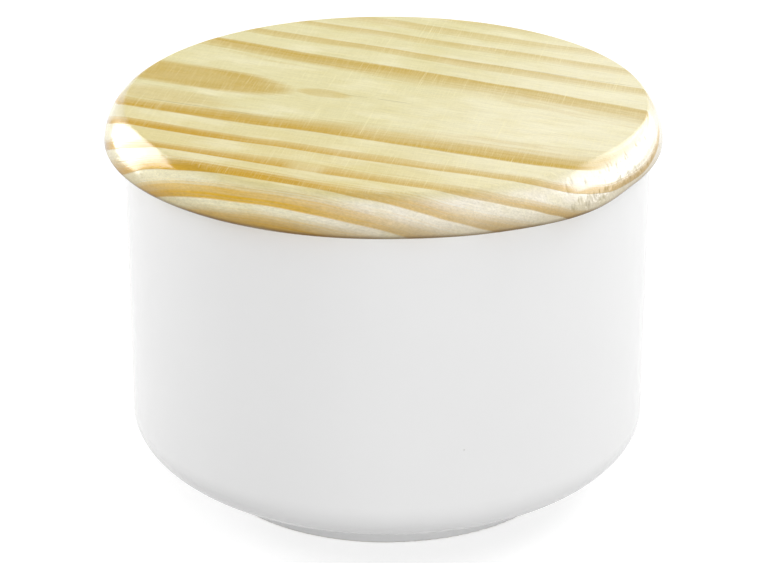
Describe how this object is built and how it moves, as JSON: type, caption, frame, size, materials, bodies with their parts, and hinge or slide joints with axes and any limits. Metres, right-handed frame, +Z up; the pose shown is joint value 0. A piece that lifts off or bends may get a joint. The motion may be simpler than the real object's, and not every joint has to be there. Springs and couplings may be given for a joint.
{
  "type": "salt box with hinged lid",
  "caption": "Round glazed ceramic kitchen pot with a soft lower corner and a foot ring, closed by a bevelled pine lid on a steel hinge hidden at the back.",
  "frame": {"origin": "centre of the foot ring, on the plane that the pot stands on", "axes": "+Z up through the middle of the pot, -Y to the front, +Y to the hinge, hinge axis along X"},
  "size_m": [0.13, 0.1358, 0.0942],
  "materials": {
    "white_glaze": "gloss",
    "varnished_pine": "gloss",
    "plain_pine": "satin",
    "clear_silicone": "satin",
    "stainless_steel": "satin",
    "nylon": "matte"
  },
  "bodies": {
    "pot": {"pot": "white_glaze"},
    "lid": {"lid_board": "varnished_pine", "inner_disc": "plain_pine", "seal_ring": "clear_silicone", "hinge_bracket": "stainless_steel", "bracket_screws": "stainless_steel", "disc_screws": "stainless_steel", "hinge_pin": "stainless_steel", "hinge_washers": "nylon"}
  },
  "joints": [
    {"name": "lid_hinge", "type": "hinge", "parent": "pot", "child": "lid", "pos_m": [0, 0.0665, 0.0801], "axis": [-1, 0, 0], "range_deg": [0, 105]}
  ]
}
